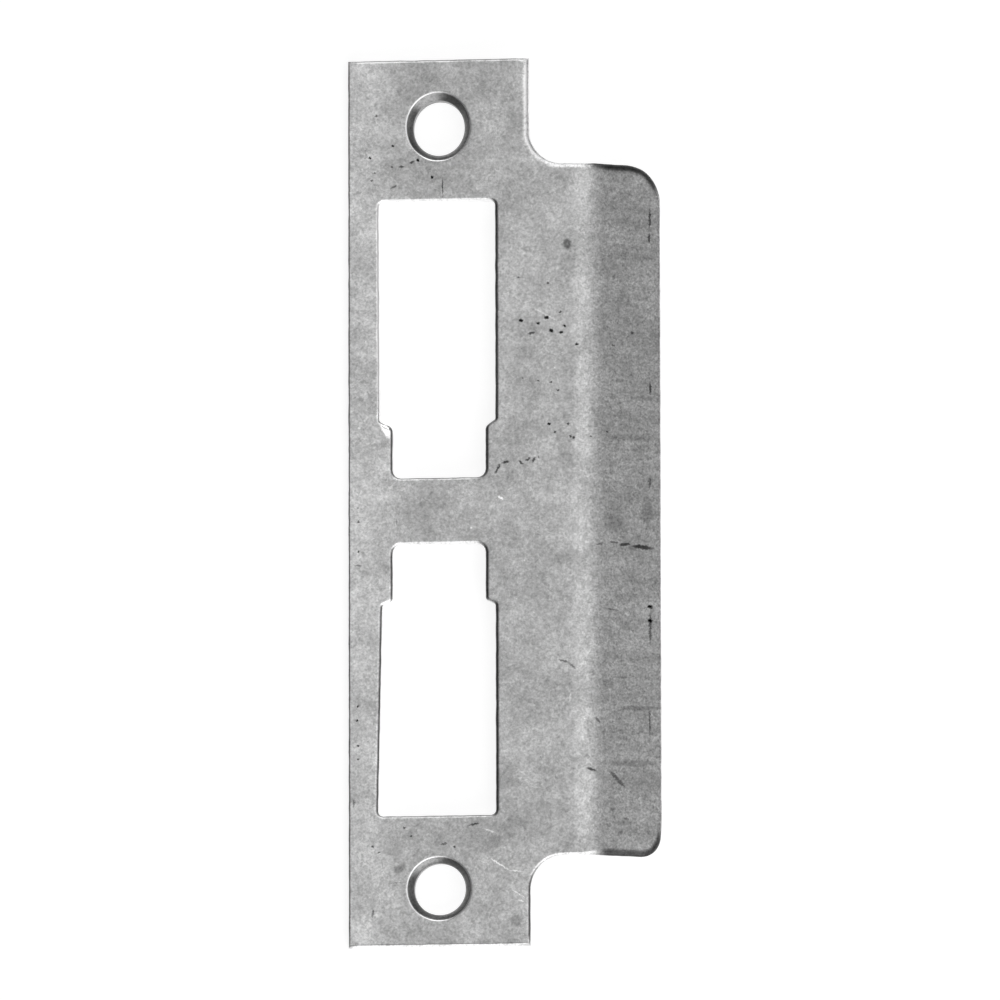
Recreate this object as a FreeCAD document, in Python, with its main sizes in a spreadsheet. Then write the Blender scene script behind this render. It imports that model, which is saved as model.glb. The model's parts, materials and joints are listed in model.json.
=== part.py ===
"""Door strike plate for a mortise lock, pressed from one piece of steel sheet.

A long flat face with two T-shaped windows, one for the bolt and one for the latch, a countersunk
screw hole near each end, and a lip on one long side that bends back towards the frame.

Frame, in millimetres: the origin is on the back face, midway between the two screws. X runs across
the face towards the lip, Y along the face towards the bolt window, and Z out of the front face.
"""
import FreeCAD, Part
import math
import os

import Sketcher

NODE = "strike_plate"
TOLERANCE = 1e-4
BEND_START = "Dims.face_width / 2 + Dims.bend_setback"

DIMENSIONS = (
    ("face_width", 28.6, "across the flat ends that hold the screws"),
    ("sheet_thickness", 2.4, "of the steel sheet"),
    ("screw_spacing", 120.0, "between the two screw centres"),
    ("upper_margin", 10.6, "from the upper screw to the upper end"),
    ("lower_margin", 9.1, "from the lower screw to the lower end"),
    ("lip_height", 108.9, "of the lip along the face, between its two ends"),
    ("lip_drop", 0.55, "by which the lip's middle lies below the mid-line between the screws"),
    ("neck_radius", 5.3, "of the hollow where the face widens into the lip"),
    ("bend_setback", 6.7, "from the side of the face to the start of the bend"),
    ("bend_radius", 7.2, "of the bend on its inner, back side"),
    ("lip_angle", 30.0, "by which the lip leans back from the face, in degrees"),
    ("lip_straight", 9.9, "of the straight part of the lip past the bend"),
    ("lip_upper_corner", 5.5, "radius of the lip's upper corner"),
    ("lip_lower_corner", 3.3, "radius of the lip's lower corner"),
    ("window_width", 18.15, "of both windows at their wide end"),
    ("window_shift", 0.22, "by which the wide ends lie off the mid-line, away from the lip"),
    ("throat_width", 14.6, "of both windows at their narrow end"),
    ("window_corner", 0.8, "radius in the outer corners of both windows"),
    ("throat_corner", 1.3, "radius in the narrow end's corners"),
    ("shoulder_corner", 0.4, "radius in the hollow of each shoulder"),
    ("bolt_throat_end", 4.6, "from the mid-line to the bolt window"),
    ("bolt_shoulder", 12.6, "from the mid-line to the bolt window's shoulders"),
    ("bolt_shoulder_rise", 1.1, "by which the bolt window's shoulders slope"),
    ("bolt_shoulder_nose", 1.0, "radius on the tip of the bolt window's shoulders"),
    ("bolt_window_end", 48.2, "from the mid-line to the far end of the bolt window"),
    ("bolt_window_lean", 0.1, "by which the bolt window's left side runs out towards its far end"),
    ("latch_throat_end", 5.9, "from the mid-line to the latch window"),
    ("latch_shoulder", 14.8, "from the mid-line to the latch window's shoulders"),
    ("latch_shoulder_rise", 0.6, "by which the latch window's shoulders slope"),
    ("latch_shoulder_nose", 0.7, "radius on the tip of the latch window's shoulders"),
    ("latch_window_end", 48.5, "from the mid-line to the far end of the latch window"),
    ("latch_window_lean", 0.7, "by which the latch window's left side runs out towards its far end"),
    ("screw_hole", 8.1, "diameter of the screw holes through the back face"),
    ("countersink", 9.9, "diameter of the countersinks in the front face"),
    ("countersink_angle", 82.0, "between the countersink's sides, in degrees"),
    ("edge_roll", 0.5, "radius to which the press rolls the front edges over"),
)


def make_sheet(doc):
    """Write every driving dimension into a spreadsheet, one aliased cell a row."""
    sheet = doc.addObject("Spreadsheet::Sheet", "Dims")
    for row, (name, value, meaning) in enumerate(DIMENSIONS, start=1):
        sheet.set(f"A{row}", name)
        sheet.set(f"B{row}", str(value))
        sheet.set(f"C{row}", meaning)
        sheet.setAlias(f"B{row}", name)
    doc.recompute()
    return sheet


def bend_start(size):
    """Return how far from the screw line the bend starts."""
    return size["face_width"] / 2 + size["bend_setback"]


def lip_end(size, side):
    """Return the height of the lip's upper (side 1) or lower (side -1) end over the mid-line."""
    return side * size["lip_height"] / 2 - size["lip_drop"]


def origin_plane(body, role):
    """Return the body's own origin plane with this role."""
    return next(item for item in body.Origin.OriginFeatures if item.Role == role)


def add_sketch(body, name, role):
    """Attach a new sketch to one of the body's origin planes."""
    sketch = body.newObject("Sketcher::SketchObject", name)
    sketch.AttachmentSupport = [(origin_plane(body, role), "")]
    sketch.MapMode = "FlatFace"
    return sketch


def line(sketch, start, end):
    """Add a straight line and return its number."""
    return sketch.addGeometry(Part.LineSegment(FreeCAD.Vector(*start, 0), FreeCAD.Vector(*end, 0)))


def arc(sketch, centre, radius, first, last):
    """Add an arc, counter-clockwise from the first angle to the last in degrees, and return its number."""
    circle = Part.Circle(FreeCAD.Vector(*centre, 0), FreeCAD.Vector(0, 0, 1), radius)
    return sketch.addGeometry(Part.ArcOfCircle(circle, math.radians(first), math.radians(last)))


def dimension(sketch, name, formula, *constraint):
    """Add a named dimension and bind it to the spreadsheet."""
    index = sketch.addConstraint(Sketcher.Constraint(*constraint))
    sketch.renameConstraint(index, name)
    sketch.setExpression(f"Constraints.{name}", formula)


def polygon(sketch, points):
    """Add a closed run of joined lines and return their numbers."""
    count = len(points)
    lines = [line(sketch, points[i], points[(i + 1) % count]) for i in range(count)]
    for i in range(count):
        sketch.addConstraint(Sketcher.Constraint("Coincident", lines[i], 2, lines[(i + 1) % count], 1))
    return lines


def section_sketch(body, size):
    """Draw the plate's section: the flat face, the bend and the straight lip."""
    half, bend, thick = size["face_width"] / 2, bend_start(size), size["sheet_thickness"]
    inner, lip, lean = size["bend_radius"], size["lip_straight"], math.radians(size["lip_angle"])
    along = (math.cos(lean), -math.sin(lean))
    outwards = (math.sin(lean), math.cos(lean))
    centre = (bend, -inner)

    def past_bend(radius, length):
        return tuple(centre[k] + outwards[k] * radius + along[k] * length for k in range(2))

    sketch = add_sketch(body, "Section", "XZ_Plane")
    back_face = line(sketch, (-half, 0), (bend, 0))
    back_bend = arc(sketch, centre, inner, 90 - size["lip_angle"], 90)
    back_lip = line(sketch, past_bend(inner, 0), past_bend(inner, lip))
    tip = line(sketch, past_bend(inner, lip), past_bend(inner + thick, lip))
    front_lip = line(sketch, past_bend(inner + thick, lip), past_bend(inner + thick, 0))
    front_bend = arc(sketch, centre, inner + thick, 90 - size["lip_angle"], 90)
    front_face = line(sketch, (bend, thick), (-half, thick))
    edge = line(sketch, (-half, thick), (-half, 0))
    for constraint in (
        ("Coincident", back_lip, 2, tip, 1),
        ("Coincident", tip, 2, front_lip, 1),
        ("Coincident", front_face, 2, edge, 1),
        ("Coincident", edge, 2, back_face, 1),
        ("Tangent", back_face, 2, back_bend, 2),
        ("Tangent", back_bend, 1, back_lip, 1),
        ("Tangent", front_lip, 2, front_bend, 1),
        ("Tangent", front_bend, 2, front_face, 1),
        ("Coincident", back_bend, 3, front_bend, 3),
        ("PointOnObject", back_face, 1, -1),
        ("Horizontal", back_face),
        ("Horizontal", front_face),
        ("Vertical", edge),
        ("Perpendicular", back_lip, tip),
        ("Parallel", back_lip, front_lip),
    ):
        sketch.addConstraint(Sketcher.Constraint(*constraint))
    dimension(sketch, "thickness", "Dims.sheet_thickness", "DistanceY", edge, 2, edge, 1, thick)
    dimension(sketch, "half_face", "Dims.face_width / 2", "DistanceX", back_face, 1, -1, 1, half)
    dimension(sketch, "bend_start", BEND_START, "DistanceX", -1, 1, back_face, 2, bend)
    dimension(sketch, "bend_radius", "Dims.bend_radius", "Radius", back_bend, inner)
    dimension(sketch, "lip_angle", "Dims.lip_angle", "Angle", back_bend, lean)
    dimension(sketch, "lip_straight", "Dims.lip_straight", "Distance", back_lip, lip)
    return sketch


def notch_sketch(body, size):
    """Draw the two corners that are sheared away beyond the ends of the lip."""
    sketch = add_sketch(body, "Notches", "XY_Plane")
    near = size["face_width"] / 2
    far = bend_start(size) + size["bend_radius"] + size["sheet_thickness"] + size["lip_straight"]
    reach = f"{BEND_START} + Dims.bend_radius + Dims.sheet_thickness + Dims.lip_straight"
    for side, margin, drop in ((1, "upper_margin", "-"), (-1, "lower_margin", "+")):
        low = abs(lip_end(size, side))
        high = size["screw_spacing"] / 2 + 2 * size[margin]
        corners = ((near, side * low), (far, side * low), (far, side * high), (near, side * high))
        lines = polygon(sketch, corners)
        for constraint in (("Horizontal", lines[0]), ("Vertical", lines[1]),
                           ("Horizontal", lines[2]), ("Vertical", lines[3])):
            sketch.addConstraint(Sketcher.Constraint(*constraint))
        inside, outside = (lines[0], 1), (lines[2], 1)
        dimension(sketch, f"{margin}_near", "Dims.face_width / 2", "DistanceX", -1, 1, *inside, near)
        dimension(sketch, f"{margin}_far", reach, "DistanceX", -1, 1, *outside, far)
        ends = {"low": (inside, low, f"Dims.lip_height / 2 {drop} Dims.lip_drop"),
                "high": (outside, high, f"Dims.screw_spacing / 2 + 2 * Dims.{margin}")}
        for end, (point, value, formula) in ends.items():
            run = ((-1, 1), point) if side > 0 else (point, (-1, 1))
            dimension(sketch, f"{margin}_{end}", formula, "DistanceY", *run[0], *run[1], value)
    return sketch


def window_corners(size, name, side):
    """Return one window's corners from its narrow end outwards: the lip's side, then the left side."""
    narrow, wide, shift = size["throat_width"] / 2, size["window_width"] / 2, size["window_shift"]
    half_lean = size[f"{name}_window_lean"] / 2
    throat, shoulder = side * size[f"{name}_throat_end"], side * size[f"{name}_shoulder"]
    hollow, end = shoulder + side * size[f"{name}_shoulder_rise"], side * size[f"{name}_window_end"]
    right = ((narrow, throat), (narrow, shoulder), (wide - shift, hollow), (wide - shift, end))
    left = ((-narrow, throat), (-narrow, shoulder),
            (-wide - shift + half_lean, hollow), (-wide - shift - half_lean, end))
    return right, left


def window_sketch(body, size, name, side):
    """Draw one T-shaped window, on the upper (side 1) or lower (side -1) half of the face."""
    right, left = window_corners(size, name, side)
    sketch = add_sketch(body, f"{name.title()}Window", "XY_Plane")
    lines = polygon(sketch, right + tuple(reversed(left)))
    throat_r, shoulder_r, wide_r, far_end, _, shoulder_l, throat_l, near_end = lines
    for constraint in (
        ("Vertical", throat_r), ("Vertical", wide_r), ("Vertical", throat_l),
        ("Symmetric", near_end, 1, near_end, 2, -2),
        ("Horizontal", far_end),
        ("Horizontal", shoulder_r, 1, shoulder_l, 2),
        ("Horizontal", shoulder_r, 2, shoulder_l, 1),
    ):
        sketch.addConstraint(Sketcher.Constraint(*constraint))
    middle = (-1, 1)
    wide, lean = "Dims.window_width / 2", f"Dims.{name}_window_lean / 2"
    widths = (
        ("narrow", (near_end, 1), (near_end, 2), 2 * right[0][0], "Dims.throat_width"),
        ("wide_right", middle, (wide_r, 1), right[2][0], f"{wide} - Dims.window_shift"),
        ("wide_left", (shoulder_l, 1), middle, -left[2][0], f"{wide} + Dims.window_shift - {lean}"),
        ("far_left", (far_end, 2), middle, -left[3][0], f"{wide} + Dims.window_shift + {lean}"),
    )
    for label, start, finish, value, formula in widths:
        dimension(sketch, label, formula, "DistanceX", *start, *finish, value)
    heights = (
        ("throat", (near_end, 1), right[0][1], f"Dims.{name}_throat_end"),
        ("shoulder", (shoulder_r, 1), right[1][1], f"Dims.{name}_shoulder"),
        ("rise", (shoulder_r, 2), right[2][1], f"Dims.{name}_shoulder + Dims.{name}_shoulder_rise"),
        ("end", (far_end, 1), right[3][1], f"Dims.{name}_window_end"),
    )
    for label, point, value, formula in heights:
        run = (middle, point) if side > 0 else (point, middle)
        dimension(sketch, label, formula, "DistanceY", *run[0], *run[1], abs(value))
    return sketch


def screw_sketch(body, size):
    """Mark the two screw centres on the front face."""
    sketch = add_sketch(body, "Screws", "XY_Plane")
    sketch.setExpression("AttachmentOffset.Base.z", "Dims.sheet_thickness")
    half, radius = size["screw_spacing"] / 2, size["screw_hole"] / 2
    for side, label in ((1, "upper"), (-1, "lower")):
        circle = Part.Circle(FreeCAD.Vector(0, side * half, 0), FreeCAD.Vector(0, 0, 1), radius)
        mark = sketch.addGeometry(circle)
        sketch.addConstraint(Sketcher.Constraint("PointOnObject", mark, 3, -2))
        dimension(sketch, f"{label}_size", "Dims.screw_hole", "Diameter", mark, 2 * radius)
        run = ((-1, 1), (mark, 3)) if side > 0 else ((mark, 3), (-1, 1))
        dimension(sketch, f"{label}_place", "Dims.screw_spacing / 2", "DistanceY", *run[0], *run[1], half)
    return sketch


def cut_through(body, name, sketch):
    """Punch a sketch through the sheet, both ways from its plane, and check that it removes metal."""
    doc = body.Document
    doc.recompute()
    before = body.Shape.Volume
    pocket = body.newObject("PartDesign::Pocket", name)
    pocket.Profile = sketch
    pocket.SideType = "Symmetric"
    pocket.Type = "ThroughAll"
    doc.recompute()
    if body.Shape.Volume >= before:
        raise RuntimeError(f"{name} removes nothing")
    return pocket


def pick(shape, wanted):
    """Name the edges of a shape for which wanted(edge) is true."""
    return [f"Edge{i}" for i, edge in enumerate(shape.Edges, start=1) if wanted(edge)]


def upright_at(places):
    """Test for a straight edge along Z over one of these (x, y) places."""
    def wanted(edge):
        top, foot = edge.Vertexes[0].Point, edge.Vertexes[-1].Point
        if math.hypot(top.x - foot.x, top.y - foot.y) > TOLERANCE or abs(top.z - foot.z) < TOLERANCE:
            return False
        return any(math.hypot(top.x - x, top.y - y) < TOLERANCE for x, y in places)
    return wanted


def round_edges(body, name, edges, radius):
    """Fillet the named edges of the body's tip, with the radius bound to the spreadsheet."""
    base = body.Tip
    fillet = body.newObject("PartDesign::Fillet", name)
    fillet.Base = (base, edges)
    fillet.setExpression("Radius", f"Dims.{radius}")
    body.Document.recompute()
    return fillet


def round_uprights(body, name, places, radius):
    """Round the upright corners over these places, and check that each one is found."""
    edges = pick(body.Tip.Shape, upright_at(places))
    if len(edges) != len(places):
        raise RuntimeError(f"{name}: {len(edges)} corners found of {len(places)}")
    return round_edges(body, name, edges, radius)


def round_window(body, size, name, side):
    """Round the corners of one window: far end, shoulders and narrow end."""
    throats, noses, hollows, far_corners = zip(*window_corners(size, name, side))
    for label, places, radius in (
        ("Far", far_corners, "window_corner"),
        ("Hollow", hollows, "shoulder_corner"),
        ("Nose", noses, f"{name}_shoulder_nose"),
        ("Throat", throats, "throat_corner"),
    ):
        round_uprights(body, f"{name.title()}{label}", places, radius)


def lip_corner_edge(size, side):
    """Test for the corner edge at the lip's tip, square to the lip's surface."""
    lean = math.radians(size["lip_angle"])
    tip = bend_start(size) + size["bend_radius"] * math.sin(lean) + size["lip_straight"] * math.cos(lean)
    end = lip_end(size, side)

    def wanted(edge):
        ends = [vertex.Point for vertex in edge.Vertexes]
        on_end = all(abs(point.y - end) < TOLERANCE for point in ends)
        return on_end and min(point.x for point in ends) > tip - TOLERANCE
    return wanted


def front_edge(size):
    """Test for an edge between the front surface and a sheared wall, away from the countersinks."""
    bend, thick = bend_start(size), size["sheet_thickness"]
    outer, lean = size["bend_radius"] + thick, math.radians(size["lip_angle"])

    def height_over_front(point):
        x, z = point.x - bend, point.z + size["bend_radius"]
        if x <= 0:
            return z - outer
        if math.atan2(x, z) <= lean:
            return math.hypot(x, z) - outer
        return x * math.sin(lean) + z * math.cos(lean) - outer

    def is_wall(face, point):
        u, v = face.Surface.parameter(point)
        normal = face.normalAt(u, v)
        x, z = point.x - bend, point.z + size["bend_radius"]
        turn = min(max(math.atan2(x, z), 0), lean)
        return abs(normal.x * math.sin(turn) + normal.z * math.cos(turn)) < TOLERANCE

    def wanted(shape, edge):
        middle = edge.valueAt((edge.FirstParameter + edge.LastParameter) / 2)
        points = [vertex.Point for vertex in edge.Vertexes] + [middle]
        if any(abs(height_over_front(point)) > TOLERANCE for point in points):
            return False
        return any(is_wall(face, middle) for face in shape.ancestorsOfType(edge, Part.Face))
    return wanted


def build_plate(doc, size):
    """Build the strike plate as one body, in the order in which the press makes it."""
    body = doc.addObject("PartDesign::Body", "StrikePlate")
    body.Label = NODE
    section = section_sketch(body, size)
    sheet = body.newObject("PartDesign::Pad", "Sheet")
    sheet.Profile = section
    sheet.SideType = "Two sides"
    sheet.setExpression("Length", "Dims.screw_spacing / 2 + Dims.lower_margin")
    sheet.setExpression("Length2", "Dims.screw_spacing / 2 + Dims.upper_margin")
    doc.recompute()

    cut_through(body, "LipEnds", notch_sketch(body, size))
    neck = size["face_width"] / 2
    round_uprights(body, "Necks", [(neck, lip_end(size, side)) for side in (1, -1)], "neck_radius")
    for side, name, radius in ((1, "LipUpper", "lip_upper_corner"), (-1, "LipLower", "lip_lower_corner")):
        round_edges(body, name, pick(body.Tip.Shape, lip_corner_edge(size, side)), radius)

    for name, side in (("bolt", 1), ("latch", -1)):
        cut_through(body, f"{name.title()}Punch", window_sketch(body, size, name, side))
        round_window(body, size, name, side)

    on_front = front_edge(size)
    shape = body.Tip.Shape
    round_edges(body, "EdgeRoll", pick(shape, lambda edge: on_front(shape, edge)), "edge_roll")

    marks = screw_sketch(body, size)
    doc.recompute()
    holes = body.newObject("PartDesign::Hole", "ScrewHoles")
    holes.Profile = marks
    holes.DepthType = "ThroughAll"
    holes.HoleCutType = "Countersink"
    holes.HoleCutCustomValues = True
    holes.setExpression("Diameter", "Dims.screw_hole")
    holes.setExpression("HoleCutDiameter", "Dims.countersink")
    holes.setExpression("HoleCutCountersinkAngle", "Dims.countersink_angle")
    body.Placement = FreeCAD.Placement()
    doc.recompute()
    return body


def check(doc, body):
    """Stop if any object of the document failed or the plate isn't one sound solid."""
    for item in doc.Objects:
        if "Invalid" in item.State or "Error" in item.State:
            raise RuntimeError(f"{item.Name} failed: {item.State}")
    shape = body.Shape
    if shape.isNull() or not shape.isValid() or len(shape.Solids) != 1:
        raise RuntimeError(f"{body.Label} is not one valid solid")


def main():
    """Build the document, check it and write the plate."""
    doc = FreeCAD.newDocument("DoorStrikePlate")
    sheet = make_sheet(doc)
    size = {name: float(sheet.get(name)) for name, _, _ in DIMENSIONS}
    body = build_plate(doc, size)
    check(doc, body)
    os.makedirs("parts", exist_ok=True)
    body.Shape.exportStep(f"parts/{NODE}.step")
    box = body.Shape.BoundBox
    print(f"{NODE}: {box.XLength:.2f} x {box.YLength:.2f} x {box.ZLength:.2f} mm, "
          f"{body.Shape.Volume:.0f} mm3, {len(body.Shape.Faces)} faces")


main()
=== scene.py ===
"""The looks of a door strike plate: pressed zinc-coated steel, its sheared edges, marks and studio.

The plate is modelled in millimetres as the press makes it. A flat blank is sheared, its windows are
punched, its edges roll over, its screw holes are countersunk, and last its lip is folded back.
"""

import json
import logging
import math
from dataclasses import dataclass, field
from enum import Enum, IntEnum

import bmesh
import bpy
from mathutils import Matrix, Vector, noise

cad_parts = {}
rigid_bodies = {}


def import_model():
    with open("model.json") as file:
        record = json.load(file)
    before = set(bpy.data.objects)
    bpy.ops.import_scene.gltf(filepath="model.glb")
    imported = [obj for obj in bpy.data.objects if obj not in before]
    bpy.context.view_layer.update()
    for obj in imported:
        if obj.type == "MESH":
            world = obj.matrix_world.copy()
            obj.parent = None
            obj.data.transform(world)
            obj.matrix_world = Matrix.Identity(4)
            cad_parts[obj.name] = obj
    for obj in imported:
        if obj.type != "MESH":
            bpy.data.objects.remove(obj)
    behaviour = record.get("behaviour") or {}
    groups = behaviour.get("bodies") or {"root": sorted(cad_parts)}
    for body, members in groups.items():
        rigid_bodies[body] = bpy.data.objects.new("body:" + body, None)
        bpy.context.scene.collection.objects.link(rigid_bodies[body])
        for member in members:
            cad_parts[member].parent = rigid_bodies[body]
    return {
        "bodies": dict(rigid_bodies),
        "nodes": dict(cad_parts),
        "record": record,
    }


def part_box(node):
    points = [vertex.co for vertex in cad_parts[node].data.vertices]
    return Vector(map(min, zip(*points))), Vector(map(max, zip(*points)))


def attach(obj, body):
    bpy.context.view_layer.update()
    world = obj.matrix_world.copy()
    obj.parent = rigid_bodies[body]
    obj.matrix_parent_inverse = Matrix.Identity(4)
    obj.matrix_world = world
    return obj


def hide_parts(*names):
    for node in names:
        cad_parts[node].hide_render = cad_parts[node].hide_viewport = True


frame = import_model()

log = logging.getLogger("strike_plate")

NODE = "strike_plate"
MM = 0.001
TOUCH = 1e-4
NOISE_RANGE = (0.3, 0.7)

Edge, Face, Vert = bmesh.types.BMEdge, bmesh.types.BMFace, bmesh.types.BMVert
Socket, Tree = bpy.types.NodeSocket, bpy.types.NodeTree
Material, Object = bpy.types.Material, bpy.types.Object
Pair, Triple = tuple[float, float], tuple[float, float, float]


class Side(IntEnum):
    """The two halves of the plate, above and below the middle."""

    UPPER = 1
    LOWER = -1


class Finish(IntEnum):
    """The surfaces that the press leaves, each with a material slot of its own."""

    FACE = 0
    LOWER_FACE = 1
    LIP = 2
    BACK = 3
    BURNISH = 4
    FRACTURE = 5
    CUT = 6


class Tone(Enum):
    """What a mark does to the face: it darkens it, or lightens it with bright metal or a painted highlight.
    """

    DARK = "Dark"
    LIGHT = "Light"


@dataclass(frozen=True)
class Corner:
    """One corner of an outline on the flat sheet, in millimetres."""

    x: float
    y: float
    radius: float = 0.0


@dataclass(frozen=True)
class Fold:
    """The bend between the flat face and the lip, in millimetres."""

    thickness: float
    start: float = 21.0
    radius: float = 7.2
    lean: float = math.radians(30)
    straight: float = 9.9
    steps: int = 18
    lead_in: float = 0.4

    @property
    def length(self) -> float:
        """Return the length of flat sheet that the bend takes up, along the middle of the sheet."""
        return (self.radius + self.thickness / 2) * self.lean

    @property
    def reach(self) -> float:
        """Return how far the flat blank reaches from the screw line."""
        return self.start + self.length + self.straight

    def place(self, point: Vector) -> Vector:
        """Fold one point of the flat blank back with the lip.

        Args:
            point: The point on the flat sheet.

        Returns:
            The point on the finished plate.
        """
        along = point.x - self.start
        if along <= 0:
            return point.copy()
        turn = min(along / self.length, 1) * self.lean
        past = max(along - self.length, 0)
        reach = self.radius + point.z
        return Vector((
            self.start + reach * math.sin(turn) + past * math.cos(turn),
            point.y,
            reach * math.cos(turn) - self.radius - past * math.sin(turn),
        ))

    def stations(self) -> list[float]:
        """List the places where the bend is divided.

        Returns:
            The places across the flat blank, from the face to the lip.
        """
        step = self.length / self.steps
        bend = [self.start + step * index for index in range(self.steps + 1)]
        return [bend[0] - self.lead_in, *bend, bend[-1] + self.lead_in]


@dataclass(frozen=True)
class Blank:
    """The sheared outline of the flat sheet, in millimetres."""

    left: float
    upper_end: float
    lower_end: float
    thickness: float
    reach: float
    lip_top: float = 53.9
    lip_foot: float = -55.0
    neck_radius: float = 5.3
    lip_upper_corner: float = 5.5
    lip_lower_corner: float = 3.3

    def corners(self) -> list[Corner]:
        """List the outline's corners.

        Returns:
            The corners, clockwise from the upper left.
        """
        right = -self.left
        return [
            Corner(self.left, self.upper_end),
            Corner(right, self.upper_end),
            Corner(right, self.lip_top, self.neck_radius),
            Corner(self.reach, self.lip_top, self.lip_upper_corner),
            Corner(self.reach, self.lip_foot, self.lip_lower_corner),
            Corner(right, self.lip_foot, self.neck_radius),
            Corner(right, self.lower_end),
            Corner(self.left, self.lower_end),
        ]


@dataclass(frozen=True)
class Window:
    """One T-shaped window, in millimetres from the plate's middle."""

    side: Side
    throat_end: float
    shoulder: float
    rise: float
    nose: float
    end: float
    lean: float
    width: float = 18.15
    shift: float = 0.22
    throat: float = 14.6
    outer_corner: float = 0.8
    throat_corner: float = 1.3
    hollow: float = 0.4

    def corners(self) -> list[Corner]:
        """List the window's corners.

        Returns:
            The corners, all the way round from the lip's side.
        """
        narrow, hollow = self.throat / 2, self.shoulder + self.rise
        right = self.width / 2 - self.shift
        left = -self.width / 2 - self.shift
        around = (
            Corner(narrow, self.throat_end, self.throat_corner),
            Corner(narrow, self.shoulder, self.nose),
            Corner(right, hollow, self.hollow),
            Corner(right, self.end, self.outer_corner),
            Corner(left - self.lean / 2, self.end, self.outer_corner),
            Corner(left + self.lean / 2, hollow, self.hollow),
            Corner(-narrow, self.shoulder, self.nose),
            Corner(-narrow, self.throat_end, self.throat_corner),
        )
        return [Corner(corner.x, self.side * corner.y, corner.radius) for corner in around]


@dataclass(frozen=True)
class ScrewHole:
    """One countersunk screw hole, in millimetres."""

    x: float
    y: float
    radius: float
    sink_radius: float = 4.95
    sink_angle: float = math.radians(82)
    rim: float = 0.2
    rim_drop: float = 0.06
    lead: float = 0.12
    margin: float = 0.3
    burr_depth: float = 0.12
    burr: float = 0.06
    stretch: float = 1.0
    skew: float = 0.0
    steps: int = 112

    def profile(self, thickness: float) -> list[Pair]:
        """List the rings that the hole is turned from.

        Args:
            thickness: The sheet's thickness.

        Returns:
            The radius and height of each ring, from the front face down to the back face.
        """
        cone_depth = (self.sink_radius - self.radius) / math.tan(self.sink_angle / 2)
        foot = thickness - self.rim_drop - cone_depth
        return [
            (self.sink_radius + self.rim + self.margin, thickness),
            (self.sink_radius + self.rim, thickness),
            (self.sink_radius, thickness - self.rim_drop),
            (self.radius + self.lead, foot + self.lead / math.tan(self.sink_angle / 2)),
            (self.radius, foot),
            (self.radius, self.burr_depth),
            (self.radius + self.burr, 0),
        ]


@dataclass(frozen=True)
class Shear:
    """What shearing does to an edge, in millimetres: roll-over, burnish, fracture and ragged line."""

    roll: float = 0.5
    roll_steps: int = 7
    hold: float = 0.15
    burnish_foot: float = 1.05
    burnish_wave: float = 0.16
    fracture_middle: float = 0.5
    fracture_back: float = 0.05
    fracture_rough: float = 0.04
    ragged: float = 0.085
    ragged_step: float = 0.55
    corner_clear: float = 1.2
    corner_steps: int = 4
    corner_fineness: float = 1.2
    coarse_pitch: float = 2.3
    fine_pitch: float = 0.7
    coarse_share: float = 0.6
    coarse_seed: float = 3.1
    fine_seed: float = 7.7
    burnish_seed: float = 5.3
    fracture_seed: float = 9.1
    lip_roll_width: float = 1.55
    lip_roll_depth: float = 0.8
    lip_roll_fade: float = 2.6
    worn_shoulder: Pair = (-8.3, 13.0)
    worn_reach: float = 1.5
    worn_spread: float = 0.75
    outer_spread: float = -0.35
    lee_spread: float = 0.3
    neck_spread: float = 1.2
    neck_end: Pair = (22.5, 24.5)

    def roll_profile(self) -> list[Pair]:
        """List the steps up the rolled edge.

        Returns:
            The inset and the rise of each step.
        """
        angles = [index * math.pi / 2 / self.roll_steps for index in range(self.roll_steps + 1)]
        inset = [self.roll * (1 - math.cos(angle)) for angle in angles]
        rise = [self.roll * math.sin(angle) for angle in angles]
        return [(inset[k + 1] - inset[k], rise[k + 1] - rise[k]) for k in range(self.roll_steps)]


@dataclass(frozen=True)
class PaintedEdgeLight:
    """How dark the painted shade in each rolled edge is, how bright its painted highlight, and how far down
    each lies.

    A depth is 0 on the face, 1 at the roll's foot and above 1 on the sheared wall.
    """

    lee_shade: float = 0.8
    lee_depth: float = 0.07
    end_shade: float = 0.87
    end_depth: float = 0.14
    foot_shade: float = 0.92
    foot_rise: Pair = (0.12, 0.45)
    rim_shade: float = 0.6
    rim_rise: Pair = (0.0, 0.02)
    rim_fade: Pair = (0.05, 0.12)
    wall_rise: Pair = (1.0, 2.0)
    # Left of this, on the upper half, right-facing edges get painted highlight instead of painted shade.
    lit_side: float = -8.2
    highlight_bright: float = 0.8
    crest_fade: Pair = (0.1, 0.4)


def wave(point: Vector, pitch: float, seed: float) -> float:
    """Return a smooth wave from 0 to 1 over the place, with crests about one pitch apart."""
    value = noise.noise(Vector((point.x / pitch, point.y / pitch, seed)))
    return min(max(0.5 + value, 0), 1)


def smooth_step(low: float, high: float, value: float) -> float:
    """Return 0 below low, 1 above high and a smooth rise between them."""
    share = min(max((value - low) / (high - low), 0), 1)
    return share * share * (3 - 2 * share)


def put_in_scene(name: str, data: bpy.types.ID) -> Object:
    """Make an object of a mesh, a lamp or a camera and put it in the scene.

    Args:
        name: The object's name.
        data: Its mesh, lamp or camera.

    Returns:
        The new object.
    """
    made = bpy.data.objects.new(name, data)
    bpy.context.scene.collection.objects.link(made)
    return made


def finish_mesh(name: str, mesh: bmesh.types.BMesh) -> Object:
    """Turn a finished mesh into an object of the scene.

    Args:
        name: The object's name.
        mesh: The finished mesh.

    Returns:
        The new object.
    """
    data = bpy.data.meshes.new(name)
    mesh.to_mesh(data)
    mesh.free()
    return put_in_scene(name, data)


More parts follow.
